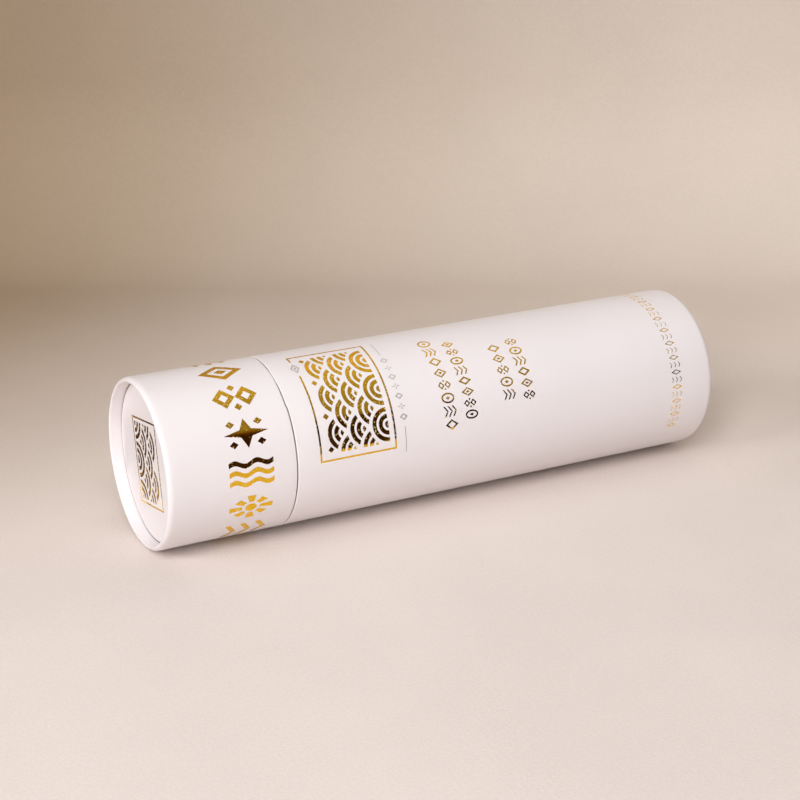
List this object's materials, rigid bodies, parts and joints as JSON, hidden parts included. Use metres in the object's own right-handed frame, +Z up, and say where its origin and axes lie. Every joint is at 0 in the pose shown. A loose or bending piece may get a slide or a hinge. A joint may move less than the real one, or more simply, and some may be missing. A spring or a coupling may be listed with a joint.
{
  "type": "cylindrical gift tube box",
  "caption": "Rigid paper tube box with a pull-off lid on a glued-in neck, rolled rims, recessed end discs and foam pads for a bottle.",
  "frame": {"origin": "bottom centre of the closed tube lying on its side, on the surface it rests on, midway between the two rims", "axes": "+X along the tube's axis from the lid towards the base, +Z up, +Y away from the side that the picture shows"},
  "size_m": [0.2906, 0.08, 0.08],
  "materials": {
    "printed_paper": "satin laminated white paper",
    "board": "wound greyboard",
    "lining_paper": "uncoated white paper",
    "foam": "white closed-cell foam",
    "gold_foil": "hot-stamped gold foil",
    "silver_ink": "pale silver-grey printing ink"
  },
  "bodies": {
    "tube_body": {"body_wrap": "printed_paper", "body_wall": "board", "body_lining": "lining_paper", "neck_paper": "lining_paper", "neck_wall": "board", "base_end_paper": "printed_paper", "base_end_board": "board", "base_end_lining": "lining_paper", "base_pad": "foam"},
    "lid": {"lid_wrap": "printed_paper", "lid_wall": "board", "lid_lining": "lining_paper", "lid_end_paper": "printed_paper", "lid_end_board": "board", "lid_end_lining": "lining_paper", "lid_pad": "foam"}
  },
  "joints": [
    {"name": "lid_slide", "type": "slide", "parent": "tube_body", "child": "lid", "axis": [-1, 0, 0], "range_m": [0, 0.045]}
  ]
}
